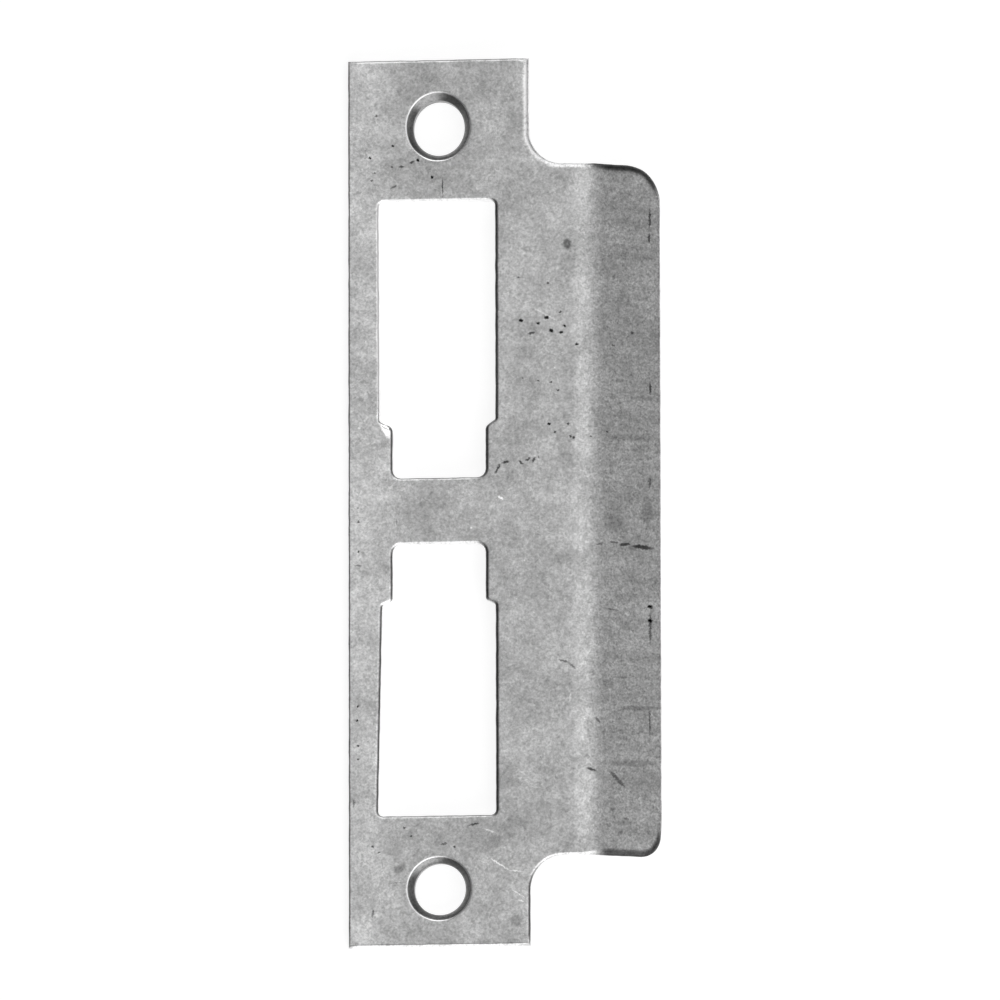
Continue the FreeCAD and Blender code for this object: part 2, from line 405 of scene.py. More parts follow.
@dataclass
class StrikePlate:
    """The whole plate: one sheet, sheared, punched, countersunk and folded."""

    blank: Blank
    fold: Fold
    windows: tuple[Window, ...]
    screws: tuple[ScrewHole, ...]
    shear: Shear = Shear()
    edge_light: PaintedEdgeLight = PaintedEdgeLight()
    mesh: bmesh.types.BMesh = field(default_factory=bmesh.new)
    lower_face_top: float = -12.0
    lip_face_start: float = 22.2

    def build(self) -> Object:
        """Make the plate.

        Returns:
            The plate as one object in metres.
        """
        self.lay_out()
        self.roll_edges()
        for screw in self.screws:
            self.countersink(screw)
        self.skin(self.blank.thickness, Finish.FACE)
        self.shear_walls()
        self.skin(0, Finish.BACK)
        bmesh.ops.recalc_face_normals(self.mesh, faces=self.mesh.faces)
        self.wear_edges()
        self.bend()
        self.divide_front()
        self.mark_creases()
        bmesh.ops.scale(self.mesh, vec=(MM, MM, MM), verts=self.mesh.verts)
        return finish_mesh("strike_plate_dressed", self.mesh)

    def lay_out(self) -> None:
        """Lay the blank and its windows out as closed loops of edges, low on the rolled edge."""
        level = self.blank.thickness - self.shear.roll
        self.outline(self.blank.corners(), level)
        for window in self.windows:
            self.outline(window.corners(), level)
        bmesh.ops.triangle_fill(self.mesh, use_beauty=True, edges=list(self.mesh.edges))
        for face in self.mesh.faces:
            face.normal_update()
        looking_back = [face for face in self.mesh.faces if face.normal.z < 0]
        bmesh.ops.reverse_faces(self.mesh, faces=looking_back)

    def outline(self, corners: list[Corner], level: float) -> None:
        """Add one closed outline with rounded corners, divided finely enough to be ragged.

        Args:
            corners: The outline's corners in order.
            level: The outline's height.
        """
        known = set(self.mesh.edges)
        verts = [self.mesh.verts.new((corner.x, corner.y, level)) for corner in corners]
        self.mesh.faces.new(verts)
        for index, corner in enumerate(corners):
            if corner.radius:
                before, after = corners[index - 1], corners[(index + 1) % len(corners)]
                self.round_corner(verts[index], corner, before, after)
        bmesh.ops.delete(self.mesh, geom=list(self.mesh.faces), context="FACES_ONLY")
        for edge in [edge for edge in self.mesh.edges if edge not in known]:
            cuts = int(edge.calc_length() / self.shear.ragged_step)
            if cuts:
                bmesh.ops.subdivide_edges(self.mesh, edges=[edge], cuts=cuts)
        for corner in corners:
            if not corner.radius:
                self.clear_corner(Vector((corner.x, corner.y, level)))

    def round_corner(self, vert: Vert, corner: Corner, before: Corner, after: Corner) -> None:
        """Round one corner of a flat outline to its radius.

        Args:
            vert: The vertex at the corner.
            corner: The corner's place and radius.
            before: The corner before it.
            after: The corner after it.
        """
        arriving = Vector((corner.x - before.x, corner.y - before.y))
        leaving = Vector((after.x - corner.x, after.y - corner.y))
        turn = arriving.angle(leaving)
        steps = corner.radius * turn / self.shear.ragged_step * self.shear.corner_fineness
        bmesh.ops.bevel(
            self.mesh, geom=[vert], offset=corner.radius * math.tan(turn / 2), offset_type="OFFSET",
            segments=max(self.shear.corner_steps, round(steps)), profile=0.5, affect="VERTICES",
            clamp_overlap=False, material=-1)

    def clear_corner(self, corner: Vector) -> None:
        """Take the divisions next to a sharp corner out again, so that its roll has room.

        Args:
            corner: The sharp corner's place.
        """
        near = [vert for vert in self.mesh.verts
                if TOUCH < (vert.co - corner).length < self.shear.corner_clear]
        bmesh.ops.dissolve_verts(self.mesh, verts=near)

    def roll_edges(self) -> None:
        """Roll every front edge over, and take the flat middle out again for the screw holes."""
        foot = self.mesh.verts.layers.float_vector.new("foot")
        sheared = self.mesh.verts.layers.int.new("sheared")
        # Each vertex's depth on the edge, later its painted light and shade.
        painted_edge_light = self.mesh.verts.layers.float.new("painted_edge_light")
        for vert in self.mesh.verts:
            vert[foot] = vert.co
            vert[sheared] = 1
        middle = list(self.mesh.faces)
        for inset, rise in [*self.shear.roll_profile(), (self.shear.hold, 0)]:
            bmesh.ops.inset_region(
                self.mesh, faces=middle, thickness=inset, depth=rise, use_boundary=True,
                use_even_offset=True)
        bmesh.ops.delete(self.mesh, geom=middle, context="FACES")
        for vert in self.mesh.verts:
            vert[painted_edge_light] = (self.blank.thickness - vert.co.z) / self.shear.roll
            self.widen_roll(vert, Vector(vert[foot]))

    def widen_roll(self, vert: Vert, foot: Vector) -> None:
        """Widen the rolled edge at the lip's ends, the highlit neck, the worn shoulder and the lee sides.

        Args:
            vert: A vertex of the rolled edge.
            foot: Its place on the outline.
        """
        shear, thick = self.shear, self.blank.thickness
        wide = self.lip_end(foot)
        worn = 1 - smooth_step(0, shear.worn_reach, (foot.to_2d() - Vector(shear.worn_shoulder)).length)
        spread = 1 + wide * (shear.lip_roll_width / shear.roll - 1) + worn * shear.worn_spread
        spread += self.lightened(foot) * shear.neck_spread
        if foot.x < self.blank.left + TOUCH:
            spread += shear.outer_spread
        elif foot.x < -self.blank.left - TOUCH:
            away = (vert.co - foot).to_2d()
            spread += shear.lee_spread * max(away.normalized().x, 0) ** 2 if away.length else 0.0
        deepen = 1 + wide * (shear.lip_roll_depth / shear.roll - 1)
        place = foot.to_2d() + (vert.co - foot).to_2d() * spread
        vert.co = Vector((*place, thick - (thick - vert.co.z) * deepen))

    def countersink(self, screw: ScrewHole) -> None:
        """Turn one countersunk hole about its own axis.

        Args:
            screw: The hole's place and sizes.
        """
        profile = screw.profile(self.blank.thickness)
        verts = [self.mesh.verts.new((screw.x + radius, screw.y, height)) for radius, height in profile]
        edges = [self.mesh.edges.new(pair) for pair in zip(verts, verts[1:])]
        known = set(self.mesh.faces)
        bmesh.ops.spin(
            self.mesh, geom=[*verts, *edges], cent=(screw.x, screw.y, 0), axis=(0, 0, 1),
            angle=2 * math.pi, steps=screw.steps, use_merge=True)
        made = {vert for face in self.mesh.faces if face not in known for vert in face.verts}
        bmesh.ops.scale(self.mesh, verts=list(made), vec=(1, screw.stretch, 1),
                        space=Matrix.Translation((-screw.x, -screw.y, 0)))
        top = self.blank.thickness
        for vert in made:
            vert.co.y += screw.skew * (vert.co.z / top - 1)
        for face in self.mesh.faces:
            if face not in known:
                foot = min(vert.co.z for vert in face.verts)
                rim = Finish.BURNISH if foot > top - screw.rim_drop - TOUCH else Finish.CUT
                face.material_index = Finish.FACE if foot > top - TOUCH else rim

    def open_edges(self, low: float, high: float) -> list[Edge]:
        """Find the open edges that lie between two heights.

        Args:
            low: The lower height.
            high: The upper height.

        Returns:
            The edges.
        """
        return [
            edge for edge in self.mesh.edges
            if edge.is_boundary and all(low - TOUCH < vert.co.z < high + TOUCH for vert in edge.verts)
        ]

    def skin(self, level: float, finish: Finish) -> None:
        """Close the front or the back with flat faces between its open edges.

        Args:
            level: The height of the surface.
            finish: The surface's finish.
        """
        filled = bmesh.ops.triangle_fill(self.mesh, use_beauty=True, edges=self.open_edges(level, level))
        for item in filled["geom"]:
            if isinstance(item, Face):
                item.material_index = finish

    def shear_walls(self) -> None:
        """Draw the sheared walls down from the rolled edge: burnish, then fracture in two steps."""
        stages = (
            (self.shear.burnish_foot, Finish.BURNISH),
            (self.shear.fracture_middle, Finish.FRACTURE),
            (0, Finish.FRACTURE),
        )
        painted_edge_light = self.mesh.verts.layers.float["painted_edge_light"]
        edges = self.open_edges(self.shear.burnish_foot, self.blank.thickness)
        for foot, finish in stages:
            drawn = bmesh.ops.extrude_edge_only(self.mesh, edges=edges)["geom"]
            for item in drawn:
                if isinstance(item, Vert):
                    item.co.z = foot
                    item[painted_edge_light] = (self.blank.thickness - foot) / self.shear.roll
                elif isinstance(item, Face):
                    item.material_index = finish
            edges = [item for item in drawn if isinstance(item, Edge) and item.is_boundary]

    def wear_edges(self) -> None:
        """Give the sheared edges their ragged line, wavy burnish and painted light and shade."""
        foot = self.mesh.verts.layers.float_vector["foot"]
        sheared = self.mesh.verts.layers.int["sheared"]
        painted_edge_light = self.mesh.verts.layers.float["painted_edge_light"]
        edge_verts = [vert for vert in self.mesh.verts if vert[sheared]]
        inward = {}
        for vert in edge_verts:
            away = (vert.co - vert[foot]).to_2d()
            known = inward.get(tuple(vert[foot]), Vector((0, 0)))
            if away.length > known.length:
                inward[tuple(vert[foot])] = away
        for vert in edge_verts:
            reach = inward[tuple(vert[foot])]
            vert[painted_edge_light] = self.paint_edge_light(Vector(vert[foot]), reach.normalized(), vert[painted_edge_light])
            self.wear_vertex(vert, Vector(vert[foot]), reach.normalized(), reach.length)

    def wear_vertex(self, vert: Vert, foot: Vector, inward: Vector, reach: float) -> None:
        """Move one vertex of a sheared edge to its worn place.

        Args:
            vert: The vertex.
            foot: Its place on the clean outline.
            inward: The direction into the metal.
            reach: How far the rolled edge reaches into the metal here.
        """
        shear = self.shear
        ragged = shear.ragged * (
            shear.coarse_share * wave(foot, shear.coarse_pitch, shear.coarse_seed)
            + (1 - shear.coarse_share) * wave(foot, shear.fine_pitch, shear.fine_seed))
        height = vert.co.z
        if height > shear.burnish_foot + TOUCH:
            progress = (vert.co - foot).to_2d().length / reach
            vert.co = Vector((*(vert.co.to_2d() + inward * ragged * (1 - progress)), height))
            return
        broken = 0.0
        if abs(height - shear.burnish_foot) < TOUCH:
            height += shear.burnish_wave * (wave(foot, shear.coarse_pitch, shear.burnish_seed) - 0.5)
        else:
            rough = wave(foot, shear.fine_pitch, shear.fracture_seed + height)
            broken = shear.fracture_back + shear.fracture_rough * rough
        place = foot.to_2d() + inward * (ragged + broken)
        vert.co = Vector((*place, height))

    def lightened(self, foot: Vector) -> float:
        """Tell how far a place belongs to the painted highlight along the upper end's edge and its neck.

        Args:
            foot: The place on the clean outline.

        Returns:
            The share, from 0 to 1.
        """
        blank = self.blank
        beside = foot.y > blank.lip_top - TOUCH and foot.x > -blank.left - TOUCH
        return beside * (1 - smooth_step(*self.shear.neck_end, foot.x))

    def paint_edge_light(self, foot: Vector, inward: Vector, depth: float) -> float:
        """Return how much painted shade darkens a place of the rolled edge, or below 0 its painted highlight.

        Args:
            foot: The place on the clean outline.
            inward: The direction into the metal.
            depth: How far down the place lies, as in the edge light's own sizes.

        Returns:
            The share of the tone that is lost to painted shade, or below 0 gained as painted highlight.
        """
        edge_light = self.edge_light
        shaded_side = foot.x > edge_light.lit_side or foot.y < 0
        up, down = max(-inward.y, 0), max(inward.y, 0)
        left, right = max(inward.x, 0), max(-inward.x, 0)
        on_roll = smooth_step(0, edge_light.lee_depth, depth)
        on_wall = smooth_step(*edge_light.wall_rise, depth)
        end = self.lip_end(foot) * (1 - on_wall)
        line = max(up, right * shaded_side) * smooth_step(*edge_light.foot_rise, depth) * (1 - on_wall)
        rim = smooth_step(*edge_light.rim_rise, depth) * (1 - smooth_step(*edge_light.rim_fade, depth))
        lowest = down * (foot.y < self.blank.lower_end + TOUCH) * rim
        # Painted shade: lee sides, the lip's ends, a dark line at the roll's foot and the lower end's rim.
        dark = max(
            left * on_roll * edge_light.lee_shade,
            end * smooth_step(0, edge_light.end_depth, depth) * edge_light.end_shade,
            line * edge_light.foot_shade * (1 - self.lightened(foot)),
            lowest * edge_light.rim_shade)
        # Painted highlight: up-facing crests, the neck, down-facing edges and right-facing edges on the lit
        # side.
        crest = up * (1 - smooth_step(*edge_light.crest_fade, depth))
        highlit = max(self.lightened(foot), crest, down * (1 - lowest), right * max(not shaded_side, on_wall))
        return dark - on_roll * highlit * (1 - end) * (1 - left) * edge_light.highlight_bright

    def lip_end(self, foot: Vector) -> float:
        """Tell how far a place belongs to the lip's two sheared ends.

        Args:
            foot: The place on the clean outline.

        Returns:
            The share, from 0 to 1.
        """
        fade = self.shear.lip_roll_fade
        past = smooth_step(self.fold.start + fade / 2, self.fold.start + 2 * fade, foot.x)
        blank = self.blank
        past_end = max(foot.y - blank.lip_top, blank.lip_foot - foot.y)
        near = smooth_step(-blank.lip_upper_corner, -fade, past_end)
        return past * near

    def bend(self) -> None:
        """Divide the sheet across the bend and fold the lip back."""
        for station in self.fold.stations():
            self.divide(Vector((station, 0, 0)), Vector((1, 0, 0)))
        for vert in self.mesh.verts:
            vert.co = self.fold.place(vert.co)

    def divide(self, place: Vector, normal: Vector) -> None:
        """Divide every face that a plane crosses."""
        parts = [*self.mesh.verts, *self.mesh.edges, *self.mesh.faces]
        bmesh.ops.bisect_plane(self.mesh, geom=parts, dist=TOUCH, plane_co=place, plane_no=normal)

    def divide_front(self) -> None:
        """Give the lower face and the lip slots of their own, so that each holds only its own marks."""
        self.divide(Vector((0, self.lower_face_top, 0)), Vector((0, 1, 0)))
        for face in self.mesh.faces:
            if face.material_index == Finish.FACE:
                middle = face.calc_center_median()
                if middle.x > self.lip_face_start:
                    face.material_index = Finish.LIP
                elif middle.y < self.lower_face_top:
                    face.material_index = Finish.LOWER_FACE

    def mark_creases(self) -> None:
        """Shade the plate smooth, but keep its sharp edges sharp."""
        crease = math.radians(38)
        for face in self.mesh.faces:
            face.smooth = True
        for edge in self.mesh.edges:
            edge.smooth = edge.calc_face_angle(0) < crease


class Graph:
    """Short calls that add nodes to one tree and join them."""

    def __init__(self, tree: Tree) -> None:
        """Start with an empty tree."""
        self.tree = tree
        tree.nodes.clear()

    def add(self, kind: str, inputs: dict | None = None, **settings: object) -> bpy.types.Node:
        """Add a node.

        Args:
            kind: The node's type.
            inputs: A value or a socket for each named or numbered input.
            settings: The node's own settings.

        Returns:
            The new node.
        """
        node = self.tree.nodes.new(kind)
        for name, value in settings.items():
            setattr(node, name, value)
        for name, value in (inputs or {}).items():
            self.feed(node.inputs[name], value)
        return node

    def feed(self, socket: Socket, value: object) -> None:
        """Join a socket to another, or set its value.

        Args:
            socket: The socket that takes the value.
            value: Another socket, or a plain value.
        """
        if isinstance(value, Socket):
            self.tree.links.new(value, socket)
        else:
            socket.default_value = value

    def math(self, operation: str, *values: object, clamp: bool = False) -> Socket:
        """Add a Math node and return its result."""
        inputs = dict(enumerate(values))
        return self.add("ShaderNodeMath", inputs, operation=operation, use_clamp=clamp).outputs[0]

    def vector(self, operation: str, *values: object) -> Socket:
        """Add a Vector Math node and return its vector."""
        return self.add("ShaderNodeVectorMath", dict(enumerate(values)), operation=operation).outputs[0]

    def ramp(self, value: object, low: float, high: float, first: float = 0, last: float = 1,
             smooth: bool = True) -> Socket:
        """Map a value from one range to another, held at both ends.

        Args:
            value: The value.
            low: The start of its range.
            high: The end of its range.
            first: The result at the start.
            last: The result at the end.
            smooth: Whether the rise between them is eased.

        Returns:
            The result.
        """
        inputs = {"Value": value, "From Min": low, "From Max": high, "To Min": first, "To Max": last}
        shape = "SMOOTHSTEP" if smooth else "LINEAR"
        return self.add("ShaderNodeMapRange", inputs, interpolation_type=shape).outputs[0]

    def noise(self, place: object, scale: object, detail: float, roughness: float = 0.5,
              distortion: float = 0.0, output: str = "Fac") -> Socket:
        """Add a Noise Texture node.

        Args:
            place: The place.
            scale: How many crests come to one unit.
            detail: How many finer layers lie over it.
            roughness: How strong these are.
            distortion: How crooked it is.
            output: The output's name.

        Returns:
            The output.
        """
        inputs = {"Vector": place, "Scale": scale, "Detail": detail, "Roughness": roughness,
                  "Distortion": distortion}
        return self.add("ShaderNodeTexNoise", inputs).outputs[output]

    def warp(self, place: object, scale: float, detail: float, reach: float) -> Socket:
        """Shift a place to and fro by smooth noise."""
        shift = self.vector("SUBTRACT", self.noise(place, scale, detail, output="Color"), (0.5, 0.5, 0.5))
        return self.vector("MULTIPLY_ADD", shift, (reach, reach, reach), place)

    def blend(self, first: object, second: object, share: float) -> Socket:
        """Return the share of the first value plus the rest of the second."""
        return self.math("MULTIPLY_ADD", second, 1 - share, self.math("MULTIPLY", first, share))

    def group(self, tree: Tree, **inputs: object) -> Socket:
        """Add a node group.

        Args:
            tree: The group.
            inputs: Its values, named with underscores for blanks.

        Returns:
            Its result.
        """
        node = self.tree.nodes.new("ShaderNodeGroup")
        node.node_tree = tree
        for name, value in inputs.items():
            self.feed(node.inputs[name.replace("_", " ")], value)
        return node.outputs[0]


def grey(tone: float) -> tuple[float, ...]:
    """Return a grey as a colour."""
    return (tone, tone, tone, 1.0)


def new_material(name: str) -> tuple[Material, Graph]:
    """Make a material and start its graph.

    Args:
        name: The material's name.

    Returns:
        The material and its graph.
    """
    material = bpy.data.materials.new(name)
    material.use_nodes = True
    return material, Graph(material.node_tree)


def new_group(name: str, inputs: dict[str, object], outputs: tuple[str, ...]) -> tuple[Graph, dict, dict]:
    """Start a node group with named inputs and outputs.

    Args:
        name: The group's name.
        inputs: A default for each input; None stands for a vector.
        outputs: The names of the values that it gives.

    Returns:
        The graph, its input sockets and its output sockets, both by name.
    """
    tree = bpy.data.node_groups.new(name, "ShaderNodeTree")
    for label, default in inputs.items():
        kind = "NodeSocketVector" if default is None else "NodeSocketFloat"
        made = tree.interface.new_socket(label, in_out="INPUT", socket_type=kind)
        if default is not None:
            made.default_value = default
    for label in outputs:
        tree.interface.new_socket(label, in_out="OUTPUT", socket_type="NodeSocketFloat")
    graph = Graph(tree)
    entry, leave = graph.add("NodeGroupInput"), graph.add("NodeGroupOutput")
    return graph, {s.name: s for s in entry.outputs if s.name}, {s.name: s for s in leave.inputs if s.name}


class ZincGroups:
    """The surface effects that the plate's materials share."""

    def __init__(self) -> None:
        """Build every group once."""
        self.mottle = self.build_mottle()
        self.grain = self.build_grain()
        self.specks = self.build_specks()
        self.hairlines = self.build_hairlines()

    @staticmethod
    def build_mottle() -> Tree:
        """Make the cloudy tone of the zinc: wide clouds with finer ones over them.

        Returns:
            The node group.
        """
        graph, given, out = new_group("CloudyZinc", {"Place": None, "Cloud Size": 6.0}, ("Cloud",))
        start, fineness = (31.0, 17.0, 5.0), 4.3
        scale = graph.math("DIVIDE", 1.0, given["Cloud Size"])
        place = graph.vector("ADD", given["Place"], start)
        wide = graph.noise(place, scale, detail=3.0, roughness=0.62, distortion=0.35)
        fine_scale = graph.math("MULTIPLY", scale, fineness)
        fine = graph.noise(place, fine_scale, detail=4.0, roughness=0.7)
        graph.feed(out["Cloud"], graph.blend(wide, fine, share=0.55))
        return graph.tree

    @staticmethod
    def build_grain() -> Tree:
        """Make the coating's grain: short crooked ridges over a finer grain.

        Returns:
            The node group.
        """
        graph, given, out = new_group("FineGrain", {"Place": None, "Grain Size": 0.3}, ("Grain",))
        ridge_fineness = 0.55
        scale = graph.math("DIVIDE", 1.0, given["Grain Size"])
        crooked = graph.warp(given["Place"], scale=1.1, detail=1.0, reach=1.7)
        ridge_scale = graph.math("MULTIPLY", scale, ridge_fineness)
        ridges = graph.noise(crooked, ridge_scale, detail=1.5, roughness=0.55, distortion=0.2)
        fine = graph.noise(given["Place"], scale, detail=2.0, roughness=0.65)
        graph.feed(out["Grain"], graph.blend(fine, ridges, share=0.54))
        return graph.tree

    @staticmethod
    def build_specks() -> Tree:
        """Make specks or pits in loose clusters, each of its own size and strength.

        Returns:
            The node group.
        """
        graph, given, out = new_group(
            "ScatteredSpecks",
            {"Place": None, "Spacing": 2.0, "Radius": 0.2, "Share": 0.3}, ("Specks",))
        scale = graph.math("DIVIDE", 1.0, given["Spacing"])
        place = graph.warp(given["Place"], scale=4.0, detail=1.0, reach=0.35)
        cells = graph.add("ShaderNodeTexVoronoi", {"Vector": place, "Scale": scale})
        lot = graph.add("ShaderNodeSeparateColor", {0: cells.outputs["Color"]})
        crowd = graph.noise(given["Place"], scale=0.16, detail=1.0)
        crowded = graph.ramp(crowd, low=0.38, high=0.62, first=0.25, last=1.9)
        holds = graph.math("LESS_THAN", lot.outputs[0], graph.math("MULTIPLY", given["Share"], crowded))
        radius = graph.math("MULTIPLY", given["Radius"], graph.ramp(lot.outputs[1], 0, 1, first=0.35))
        distance = graph.math("MULTIPLY", cells.outputs["Distance"], given["Spacing"])
        disc = graph.ramp(graph.math("DIVIDE", distance, radius), low=1.0, high=0.45)
        held = graph.math("MULTIPLY", disc, holds)
        graph.feed(out["Specks"], graph.math("MULTIPLY", held, graph.ramp(lot.outputs[2], 0, 1, first=0.45)))
        return graph.tree

    @staticmethod
    def build_hairlines() -> Tree:
        """Make short fine scratches that lie near one direction.

        Returns:
            The node group.
        """
        graph, given, out = new_group(
            "Hairlines",
            {"Place": None, "Turn": 0.0, "Length": 3.0, "Width": 0.1, "Share": 0.2}, ("Lines",))
        line_width = 0.16
        turned = graph.add("ShaderNodeVectorRotate", {"Vector": given["Place"], "Angle": given["Turn"]},
                           rotation_type="Z_AXIS").outputs[0]
        along = graph.math("DIVIDE", 1.0, given["Length"])
        across = graph.math("DIVIDE", line_width, given["Width"])
        stretch = graph.add("ShaderNodeCombineXYZ", {0: along, 1: across, 2: across})
        place = graph.vector("MULTIPLY", turned, stretch.outputs[0])
        cells = graph.add("ShaderNodeTexVoronoi", {"Vector": place, "Scale": 1.0})
        lot = graph.add("ShaderNodeSeparateColor", {0: cells.outputs["Color"]})
        holds = graph.math("LESS_THAN", lot.outputs[0], given["Share"])
        line = graph.ramp(cells.outputs["Distance"], low=0.22, high=0.05)
        graph.feed(out["Lines"], graph.math("MULTIPLY", line, holds))
        return graph.tree


@dataclass(frozen=True)
class Mark:
    """One mark on the front, in millimetres on the plate as seen from the front."""

    x: float
    y: float
    length: float
    width: float
    turn: float = 0.0
    strength: float = 1.0
    tone: Tone = Tone.DARK


@dataclass(frozen=True)
class Zinc:
    """The zinc coat of one surface: its tone, roughness and how strongly each effect shows."""

    name: str
    tone: float
    roughness: float
    cloud_size: float = 5.0
    cloud: float = 0.55
    grain_size: float = 0.32
    grain: float = 0.58
    pit_share: float = 0.12
    pit_depth: float = 0.6
    glints: float = 0.6
    scratches: float = 0.12
    relief: float = 0.02
    ridge_height: float = 1.25
    rough_spread: float = 0.06
    dirt_roughness: float = 0.2
    rub_polish: float = 0.14
    pit_relief: float = 0.8

    def build(self, groups: ZincGroups, marks: "PlacedMarks | None" = None) -> Material:
        """Make the material.

        Args:
            groups: The shared surface effects.
            marks: The marks that lie on this surface, if any.

        Returns:
            The material.
        """
        material, graph = new_material(self.name)
        place = millimetres(graph)
        cloud = graph.group(groups.mottle, Place=place, Cloud_Size=self.cloud_size)
        grain = graph.group(groups.grain, Place=place, Grain_Size=self.grain_size)
        pits = graph.group(groups.specks, Place=place, Spacing=2.6, Radius=0.2, Share=self.pit_share)
        glints = graph.group(groups.specks, Place=place, Spacing=1.2, Radius=0.15, Share=0.35)
        scratch = graph.group(groups.hairlines, Place=place, Turn=0.5, Length=3.5, Width=0.09, Share=0.16)
        tone = graph.ramp(cloud, *NOISE_RANGE, 1 - self.cloud / 2, 1 + self.cloud / 2, smooth=False)
        coarse = marks.coarseness(graph, place) if marks else 1.0
        contrast = graph.math("MULTIPLY", coarse, self.grain)
        height = self.ridge_height / 2
        ridges = graph.ramp(grain, *NOISE_RANGE, -height, height, smooth=False)
        tone = graph.math("MULTIPLY", tone, graph.math("MULTIPLY_ADD", ridges, contrast, 1.0))
        tone = graph.math("MULTIPLY_ADD", glints, self.glints, tone)
        tone = graph.math("MULTIPLY_ADD", scratch, self.scratches, tone)
        dark, bright = graph.math("MULTIPLY", pits, self.pit_depth), 0.0
        if marks:
            placed = marks.place(graph, place)
            bright = placed[Tone.LIGHT]
            tone = graph.math("MULTIPLY_ADD", tone, marks.shade(graph, place), bright)
            dark = graph.math("MAXIMUM", dark, placed[Tone.DARK])
        # Painted light and shade of the rolled edges, per vertex: darkens the tone, or brightens it below 0.
        painted_edge_light = graph.add("ShaderNodeAttribute", attribute_name="painted_edge_light").outputs["Fac"]
        worn = graph.math("SUBTRACT", 1.0, dark)
        worn = graph.math("MULTIPLY", worn, graph.math("SUBTRACT", 1.0, painted_edge_light))
        tone = graph.math("MULTIPLY", tone, worn)
        tone = graph.math("MULTIPLY", tone, self.tone, clamp=True)
        colour = graph.add("ShaderNodeCombineColor", {0: tone, 1: tone, 2: tone}).outputs[0]
        rough = graph.ramp(cloud, *NOISE_RANGE, self.roughness + self.rough_spread,
                           self.roughness - self.rough_spread, smooth=False)
        rough = graph.math("MULTIPLY_ADD", bright, -self.rub_polish, rough)
        rough = graph.math("MULTIPLY_ADD", dark, self.dirt_roughness, rough, clamp=True)
        height = graph.math("MULTIPLY_ADD", pits, -self.pit_relief, grain)
        bump = graph.add("ShaderNodeBump", {
            "Strength": 0.5, "Distance": self.relief * MM, "Height": height})
        shader = graph.add("ShaderNodeBsdfPrincipled", {
            "Base Color": colour, "Metallic": 1.0, "Roughness": rough, "Normal": bump.outputs[0]})
        graph.add("ShaderNodeOutputMaterial", {"Surface": shader.outputs[0]})
        return material


def millimetres(graph: Graph) -> Socket:
    """Return the object's own coordinates in millimetres."""
    own = graph.add("ShaderNodeTexCoord").outputs["Object"]
    return graph.add("ShaderNodeVectorMath", {0: own, "Scale": 1 / MM}, operation="SCALE").outputs[0]


@dataclass(frozen=True)
class PlacedMarks:
    """The marks that lie at known places of the front, and its slow changes of tone."""

    marks: tuple[Mark, ...]
    left_edge: float
    bend_start: float
    wobble: float = 0.55
    soft_edge: Pair = (1.25, 0.55)
    stretched: float = 7.0
    stretched_grain: float = 1.45
    lighter_strip: Pair = (2.0, 12.0)
    lighter_tone: float = 1.27
    band_fade: Pair = (2.0, 6.0)
    band_scale: Triple = (0.05, 0.55, 0.05)
    band_range: Pair = (0.35, 0.65)
    band_depth: float = 0.11

    def place(self, graph: Graph, place: Socket) -> dict[Tone, Socket]:
        """Add every mark to a material.

        Args:
            graph: The material's graph.
            place: The place on the plate, in millimetres.

        Returns:
            The dark mask and the light mask.
        """
        ragged = graph.warp(place, scale=3.2, detail=2.0, reach=self.wobble)
        flat = graph.vector("MULTIPLY", ragged, (1.0, 1.0, 0.0))
        masks = {tone: 0.0 for tone in Tone}
        for mark in self.marks:
            turned = graph.add("ShaderNodeMapping", {
                "Vector": flat, "Location": (mark.x, mark.y, 0),
                "Rotation": (0, 0, math.radians(mark.turn)),
                "Scale": (mark.length / 2, mark.width / 2, 1)}, vector_type="TEXTURE").outputs[0]
            reach = graph.add("ShaderNodeVectorMath", {0: turned}, operation="LENGTH").outputs["Value"]
            mask = graph.ramp(reach, *self.soft_edge, last=mark.strength)
            masks[mark.tone] = graph.math("MAXIMUM", masks[mark.tone], mask)
        return masks

    def coarseness(self, graph: Graph, place: Socket) -> Socket:
        """Let the grain grow over the bend towards the stretched lip.

        Args:
            graph: The material's graph.
            place: The place on the plate, in millimetres.

        Returns:
            The grain's strength.
        """
        across = graph.add("ShaderNodeSeparateXYZ", {0: place}).outputs[0]
        end = self.bend_start + self.stretched
        return graph.ramp(across, self.bend_start, end, 1.0, self.stretched_grain)

    def shade(self, graph: Graph, place: Socket) -> Socket:
        """Make the tone lighter towards the left edge and draw bands across the lip.

        Args:
            graph: The material's graph.
            place: The place on the plate, in millimetres.

        Returns:
            The slow change of tone.
        """
        across = graph.add("ShaderNodeSeparateXYZ", {0: place}).outputs[0]
        strip = [self.left_edge + reach for reach in self.lighter_strip]
        lightened = graph.ramp(across, *strip, self.lighter_tone, 1.0)
        drawn = graph.vector("MULTIPLY", place, self.band_scale)
        bands = graph.noise(drawn, scale=1.0, detail=3.0, roughness=0.6)
        on_lip = graph.ramp(across, *[self.bend_start + reach for reach in self.band_fade])
        band = graph.ramp(bands, *self.band_range, -self.band_depth, self.band_depth, smooth=False)
        banded = graph.math("MULTIPLY_ADD", band, on_lip, 1.0)
        return graph.math("MULTIPLY", lightened, banded)


@dataclass(frozen=True)
class SoftBox:
    """One soft lamp, aimed at the plate, with its brightness as a lit white card would have it."""

    name: str
    direction: Triple
    distance: float
    size: float
    brightness: float

    def build(self, target: Vector) -> None:
        """Hang the lamp in its direction from the target and aim it there.

        Args:
            target: The point it is aimed at.
        """
        data = bpy.data.lights.new(self.name, "AREA")
        data.shape = "SQUARE"
        data.size = self.size
        data.energy = self.brightness * math.pi * self.size ** 2
        lamp = put_in_scene(self.name, data)
        towards = Vector(self.direction).normalized()
        lamp.location = target + towards * self.distance
        lamp.rotation_euler = towards.to_track_quat("Z", "Y").to_euler()
        lamp.visible_camera = False


